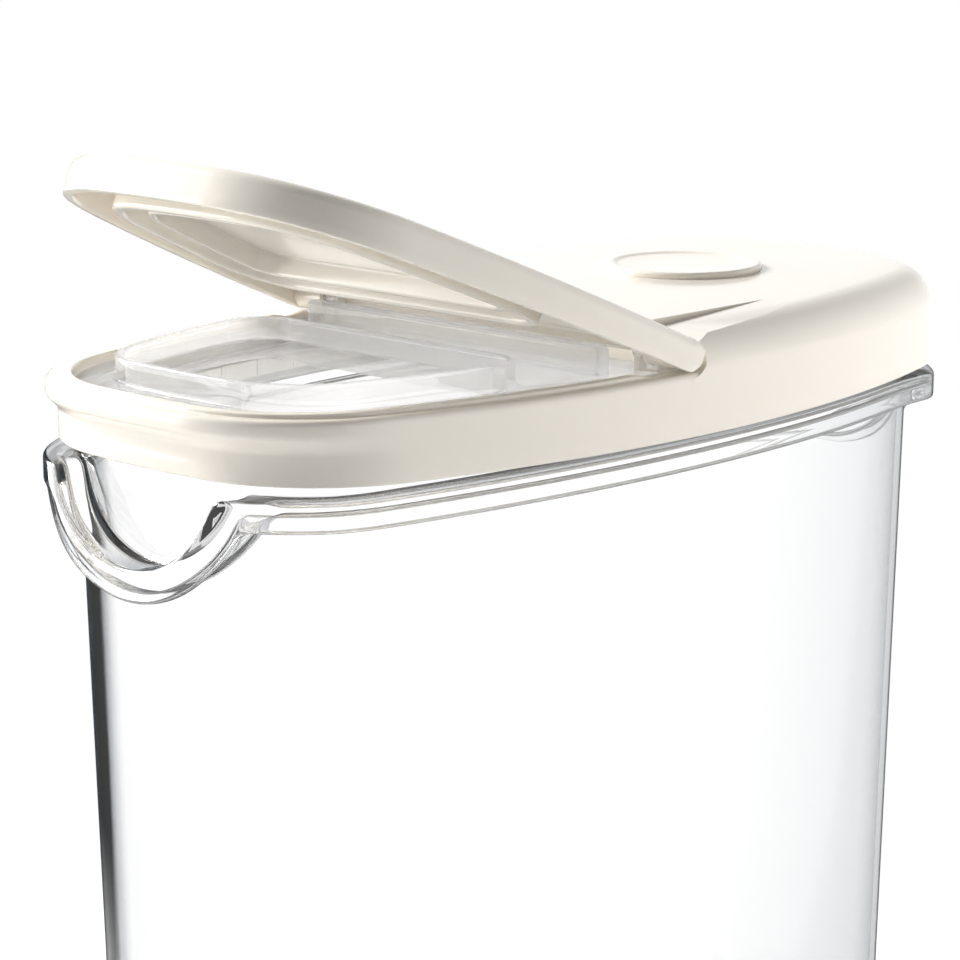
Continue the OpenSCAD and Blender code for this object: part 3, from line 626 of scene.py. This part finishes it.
def d_row(out, z, inset=COLLAR_IN, back=COLLAR_BACK, r=COLLAR_R, counts=COARSE):
    """One closed row round a D: the outline's front, inset, with a straight back at x = back and back
    corners of radius r; all of it moved outward by out. Each back corner's arc touches the side arc
    from inside. Its columns match those of row."""
    inset, back, r = inset - out, back + out, max(r + out, 0.3)
    side_c = np.array([WIDEST_X, SIDE_R - LID_W / 2])
    centres, radii, ways = outline(counts)
    n0, n1, n2, n3, n4 = counts
    x = back - r
    y = side_c[1] - math.sqrt((SIDE_R - inset - r) ** 2 - (x - side_c[0]) ** 2)
    begin, turned = (math.atan2(w[1], w[0]) % (2 * math.pi)
                     for w in (ways[n0 + n1], (x - side_c[0], y - side_c[1])))
    front = centres[:n0 + n1] + (radii[:n0 + n1] - inset)[:, None] * ways[:n0 + n1]
    a = np.linspace(begin, turned, n2, endpoint=False)[:, None]
    along = side_c + (SIDE_R - inset) * np.concatenate([np.cos(a), np.sin(a)], 1)
    a = np.linspace(turned, 2 * math.pi, n3, endpoint=False)[:, None]
    corner = np.array([x, y]) + r * np.concatenate([np.cos(a), np.sin(a)], 1)
    straight = np.stack([np.full(n4 + 1, back), y * (1 - np.linspace(0, 1, n4 + 1))], 1)
    half = np.concatenate([front, along, corner, straight])
    xy = np.concatenate([half, half[-2:0:-1] * [1.0, -1.0]])
    return np.concatenate([xy, np.broadcast_to(np.asarray(z, float), len(xy))[:, None]], 1)


def insert_rows():
    """The insert's closed section: from the bore's lower edge out under the plate and round the plug
    wall, up the plate's edge, in over the plate, up the deck, in to the collar and over its round rim,
    and down the bore. Rows on the outline and on the D have matching columns, so flat faces join them."""
    deck = dict(inset=LEDGE_W + RIM_W + SEAT_GAP, back=COVER_X - SEAT_GAP, r=1.2)
    plug = wall_inset(LID_Z + GASKET_Z) + BODY_WALL + FIT_GAP + GASKET_T
    low = PLATE_Z - PLUG_H
    bore = -plug - PLUG_T
    wall = [(bore, PLATE_Z), (bore, low + 0.8)] + bend(bore, low + 0.6, bore + 0.6, low, 4)
    wall += bend(-plug - 0.6, low, -plug, low + 0.6, 4, "out") + [(-plug, PLATE_Z)]
    rim = -LID_WALL - SEAT_GAP
    plate = bend(rim - 0.4, PLATE_Z, rim, PLATE_Z + 0.4, 4, "out")
    plate += bend(rim, PLATE_TOP - 0.45, rim - 0.4, PLATE_TOP - 0.05, 4)
    rows = [d_row(-COLLAR_WALL, PLATE_Z)]
    rows += [row(out, z, nose_back=NOSE_BACK) for out, z in wall]
    rows += [row(out, z, nose_back=LIP_OUT) for out, z in plate]
    rows += [d_row(0, PLATE_TOP - 0.05, **deck), d_row(0, DECK_H - 0.4, **deck)]
    rows += [d_row(out, z, **deck) for out, z in bend(0, DECK_H - 0.4, -0.4, DECK_H, 4)[1:]]
    rows += [d_row(out, z) for out, z in bend(0.9, DECK_H, 0, DECK_H + 0.9, 6, "out")]
    rows += [d_row(-0.02, (DECK_H + COLLAR_H) / 2)]
    rows += [d_row(out, z) for out, z in bend(-0.04, COLLAR_H - 0.85, -0.89, COLLAR_H, 7)]
    rows += [d_row(out, z)
             for out, z in bend(-0.91, COLLAR_H, -COLLAR_WALL + 0.04, COLLAR_H - 0.85, 7, "out")]
    rows += [d_row(-COLLAR_WALL + 0.02, (DECK_H + COLLAR_H) / 2), d_row(-COLLAR_WALL, PLATE_Z + 0.5)]
    return [r + [0, 0, LID_Z] for r in rows]


def pad_rows(x, y, hx, hy, r, z0, z1, edge, n=10):
    """A block with round upright corners of radius r and a rounded top edge, as closed rows from its
    foot up."""
    a = np.linspace(0, np.pi / 2, n)
    rows = []
    for out, z in [(0.0, z0)] + bend(0, z1 - edge, -edge, z1, 6):
        loops = [(sx * (hx - r) + (r + out) * np.cos(a + q), sy * (hy - r) + (r + out) * np.sin(a + q))
                 for sx, sy, q in ((1, 1, 0), (-1, 1, np.pi / 2), (-1, -1, np.pi), (1, -1, 1.5 * np.pi))]
        rows.append(np.concatenate([np.stack([x + px, y + py, 0 * px + z], 1) for px, py in loops]))
    return rows


# Polypropylene random copolymer: clear, but milky enough to scatter some light, so it stays pale
# where the tub's clear walls draw dark lines. Glossy, with faint flow ripples.
milky = bpy.data.materials.new("polypropylene_moulded_translucent")
tree = new_tree(milky)
where = add(tree, "ShaderNodeTexCoord")
ripple = add(tree, "ShaderNodeTexNoise", [(where.outputs["Object"], "Vector")], in_Scale=60.0, in_Detail=1.0)
bump = add(tree, "ShaderNodeBump", [(ripple.outputs["Fac"], "Height")], in_Strength=0.10, in_Distance=0.0004)
glass = add(tree, "ShaderNodeBsdfPrincipled", [(bump.outputs["Normal"], "Normal")],
            in_Base_Color=lin("#FDFDFD"), in_Roughness=0.03, in_IOR=1.49, in_Transmission_Weight=1.0)
haze = add(tree, "ShaderNodeBsdfTransparent", in_Color=lin("#FBFBFB"))
clearer = add(tree, "ShaderNodeMixShader", [(glass.outputs[0], 1), (haze.outputs[0], 2)], in_0=0.50)
white = lin("#FFFFFF")
lit = add(tree, "ShaderNodeBsdfDiffuse", in_Color=white)
lit_through = add(tree, "ShaderNodeBsdfTranslucent", in_Color=white)
milk = add(tree, "ShaderNodeMixShader", [(lit.outputs[0], 1), (lit_through.outputs[0], 2)], in_0=0.5)
hazy = add(tree, "ShaderNodeMixShader", [(clearer.outputs[0], 1), (milk.outputs[0], 2)], in_0=0.17)
path = add(tree, "ShaderNodeLightPath")
mixed = add(tree, "ShaderNodeMixShader",
            [(path.outputs["Is Shadow Ray"], 0), (hazy.outputs[0], 1), (haze.outputs[0], 2)])
add(tree, "ShaderNodeOutputMaterial", [(mixed.outputs[0], "Surface")])
insert = put("spout_insert_moulded", *skin(insert_rows(), closed=True), milky)
ROOT_Z = LID_Z + PLATE_TOP - 1   # inside the plate, so that what stands on it joins it
rib = pad_rows(RIB_X, 0, RIB_T / 2, RIB_L / 2, 1.2, ROOT_Z, LID_Z + RIB_TOP, 1.0)
extra = [put("rib", *skin(rib), milky)]
BORE_R = PIN_R + PIN_PLAY
EYE_R = BORE_R + EYE_WALL
for span in ((EYE_Y, EYE_Y + EYE_T), (-EYE_Y - EYE_T, -EYE_Y)):
    # the post, and the eye's circle down to where the post runs into it
    eye = [(HINGE_X - POST_W / 2, ROOT_Z), (HINGE_X + POST_W / 2, ROOT_Z)]
    eye += arc(HINGE_X, LID_Z + HINGE_Z, EYE_R, -43, 223, 28)
    extra.append(put("eye", *prism(eye, *span), milky))
combine(insert, extra, "UNION")
bore = [put("bore", *prism(arc(HINGE_X, LID_Z + HINGE_Z, BORE_R, 0, 345, 24), -60, 60), milky)]
combine(insert, bore, "DIFFERENCE")
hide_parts("spout_insert")
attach(insert, "lid")

# ---- Flap ----
# A shallow cream tray, open side down, with a round rear edge. Its arms carry pins that turn in
# the insert's eyes. Gloss moulded in ABS like the frame.
FLAP_OPEN, FLAP_TOP_T, FLAP_EDGE_R, FLAT_X = math.radians(22.9), 1.8, 2.25, HINGE_X - 70.0
EYE_GAP, BOSS_R, PIN_END = 0.3, 3.1, 53.6
RISE = FLAP_Z1 - HINGE_Z
REACH = math.hypot(HINGE_X - FLAT_X, RISE)
LEAN = math.atan2(RISE, HINGE_X - FLAT_X) - math.asin(ARM_R / REACH)


def opened(points):
    """Points of the closed flap, in lid heights, turned up about the hinge to where the flap stands, in
    the row frame."""
    p = np.asarray(points, float) - [HINGE_X, 0, HINGE_Z]
    c, s = math.cos(FLAP_OPEN), math.sin(FLAP_OPEN)
    turned = np.stack([p[..., 0] * c + p[..., 2] * s, p[..., 1], -p[..., 0] * s + p[..., 2] * c], -1)
    return turned + [HINGE_X, 0, LID_Z + HINGE_Z]


def flap_top(x, t=0.0):
    """Height of the flap's top, t inside it: level at the front, a straight fall to the arm's round
    end, and that circle."""
    r = ARM_R - t
    slope = math.tan(LEAN)
    start = HINGE_X - r * math.sin(LEAN)
    line = HINGE_Z + r * math.cos(LEAN) - (x - start) * slope
    circle = HINGE_Z + np.sqrt(np.maximum(r * r - np.minimum(np.abs(x - HINGE_X), r) ** 2, 0))
    return np.where(x > start, circle, np.minimum(line, FLAP_Z1 - t))


def flap_rows():
    """The tray as rows on a D that ends at the arm's circle: from the middle under the top out and down
    inside the wall, across the lower edge, up outside, over the rounded edge and in over the top. Along
    the D's straight back the lower edge stands at the hinge's height."""
    shape = dict(inset=0.0, back=HINGE_X + ARM_R, r=0.4)
    n = COARSE
    to_back = np.concatenate([np.zeros(sum(n[:3])), np.linspace(0, 1, n[3]), np.ones(n[4] + 1)])
    to_back = np.concatenate([to_back, to_back[-2:0:-1]])
    x = d_row(0, 0, **shape)[:, 0]
    soft = np.clip(1 - (x - HINGE_X + 1.0) / (ARM_R + 0.6), 0, 1) * (1 - to_back)
    back_foot = HINGE_Z - 0.5
    rows = []

    def ring(out, height):
        p = d_row(out, 0, **shape)
        reach = np.clip(p[:, 0] - HINGE_X, 0, ARM_R)
        foot = (1 - to_back) * (HINGE_Z - np.sqrt(ARM_R ** 2 - reach ** 2)) + to_back * back_foot
        foot = np.minimum(foot, back_foot)
        p[:, 2] = height(p[:, 0], foot)
        rows.append(p)

    for out in (-20.0, -12.0, -7.0, -4.5, -3.4, -2.8):
        ring(out, lambda x, foot: flap_top(x, FLAP_TOP_T))
    for f in (0.06, 0.12, 0.5, 0.9):
        ring(-LID_WALL, lambda x, foot: flap_top(x, FLAP_TOP_T) * (1 - f) + foot * f)
    ring(-LID_WALL + 0.3, lambda x, foot: foot)
    ring(-0.5, lambda x, foot: foot)
    ring(-0.15, lambda x, foot: foot + 0.1)
    for f in (0.0, 0.3, 0.7, 1.0):
        ring(0.0, lambda x, foot: ((foot + 0.4) * (1 - f)
                                   + (np.maximum(flap_top(x), HINGE_Z) - FLAP_EDGE_R * soft) * f))
    for a in np.linspace(0, np.pi / 2, 10)[1:]:
        ring(-FLAP_EDGE_R * (1 - math.cos(a)),
             lambda x, foot: flap_top(x) - FLAP_EDGE_R * soft * (1 - math.sin(a)))
    for out in (-2.3, -2.8, -3.3, -4.5, -7.0, -12.0, -20.0):
        ring(out, lambda x, foot: flap_top(x))
    return rows


def swing(obj):
    """Turns a closed flap piece up to where it stands."""
    at = np.empty(len(obj.data.vertices) * 3)
    obj.data.vertices.foreach_get("co", at)
    obj.data.vertices.foreach_set("co", (opened(at.reshape(-1, 3) * 1000) * 0.001).ravel())
    obj.data.update()
    return obj


flap = put("flap_tray_moulded", *skin(flap_rows()), cream)
slots = []
SLOT_R = EYE_R + EYE_GAP
for span in ((EYE_Y - EYE_GAP, EYE_Y + EYE_T + EYE_GAP), (-EYE_Y - EYE_T - EYE_GAP, -EYE_Y + EYE_GAP)):
    slot = [(HINGE_X + 20, HINGE_Z - 8), (HINGE_X + 20, HINGE_Z + SLOT_R)]
    slot += arc(HINGE_X, HINGE_Z, SLOT_R, 90, 180, 12) + [(HINGE_X - SLOT_R, HINGE_Z - 8)]
    slots.append(put("slot", *prism(slot, *span), cream))
swing(combine(flap, slots, "DIFFERENCE"))
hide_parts("flap_shell")
for name, r, y0 in (("pin", PIN_R, EYE_Y - EYE_GAP), ("boss", BOSS_R, EYE_Y + EYE_T + EYE_GAP)):
    for tag, span in (("left", (-PIN_END, -y0)), ("right", (y0, PIN_END))):
        rod = put(f"flap_{name}_{tag}", *prism(arc(HINGE_X, HINGE_Z, r, 0, 352.5, 48), *span), cream)
        rod.data.set_sharp_from_angle(angle=math.radians(40))
        swing(rod).parent = flap
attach(flap, "flap")

# ---- Flap liner and seals ----
# A cream plate welded under the flap's top, with two rings that straddle the collar, and a soft
# silicone ring laid between them that shuts on the collar's rim. The gasket round the insert's
# plug wall is moulded from the same silicone.
RING_GAP, RING_W, RING_PROUD, INNER_W, INNER_SHORT, LINER_T = 1.2, 2.5, 0.3, 1.8, 1.0, 0.9
LINER_Z = FLAP_Z1 - FLAP_TOP_T - LINER_T


def liner_rows():
    """The liner's section on the collar's D: from the middle of its underside out to the inner ring and
    down it, up between the rings, down and up the outer ring, and in over the top, which follows the
    flap."""
    low = FLAP_Z0 - RING_PROUD
    inner_low = low + INNER_SHORT
    inner = -COLLAR_WALL - RING_GAP
    inmost, outmost = inner - INNER_W, RING_GAP + RING_W
    out = [(-14.0, LINER_Z), (inmost - 0.6, LINER_Z)]
    out += bend(inmost - 0.4, LINER_Z, inmost, LINER_Z - 0.4, 4, "out")
    out += bend(inmost, inner_low + 0.6, inmost + 0.6, inner_low, 4)
    out += bend(inner - 0.6, inner_low, inner, inner_low + 0.6, 4, "out")
    out += bend(inner, LINER_Z - 0.3, inner + 0.3, LINER_Z, 3)
    out += bend(RING_GAP - 0.3, LINER_Z, RING_GAP, LINER_Z - 0.3, 3, "out")
    out += bend(RING_GAP, low + 0.8, RING_GAP + 0.8, low, 5)
    out += bend(outmost - 0.8, low, outmost, low + 0.8, 5, "out")
    rows = [d_row(o, z) for o, z in out]
    for o in (outmost, outmost - 0.1, -14.0):
        p = d_row(o, 0)
        p[:, 2] = np.minimum(flap_top(p[:, 0], FLAP_TOP_T), LINER_Z + LINER_T) - 0.02
        rows.append(p)
    return rows


liner = swing(put("flap_liner_moulded", *skin(liner_rows()), cream))
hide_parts("flap_liner")
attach(liner, "flap")

# Silicone: soft, slightly milky, with a fine matt skin.
seal = bpy.data.materials.new("silicone_moulded_milky")
tree = new_tree(seal)
where = add(tree, "ShaderNodeTexCoord")
grain = add(tree, "ShaderNodeTexNoise", [(where.outputs["Object"], "Vector")], in_Scale=400.0, in_Detail=2.0)
bump = add(tree, "ShaderNodeBump", [(grain.outputs["Fac"], "Height")], in_Strength=0.2, in_Distance=0.0002)
tone = add(tree, "ShaderNodeMix", [(grain.outputs["Fac"], 0)], data_type="RGBA",
           in_6=lin("#EDEAE4"), in_7=lin("#F5F3EF"))
body = add(tree, "ShaderNodeBsdfPrincipled",
           [(tone.outputs[2], "Base Color"), (bump.outputs["Normal"], "Normal")],
           in_Roughness=0.45, in_IOR=1.41)
add(tree, "ShaderNodeOutputMaterial", [(body.outputs[0], "Surface")])
for name in ("lid_gasket", "flap_seal"):
    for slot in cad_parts[name].material_slots:
        slot.material = seal
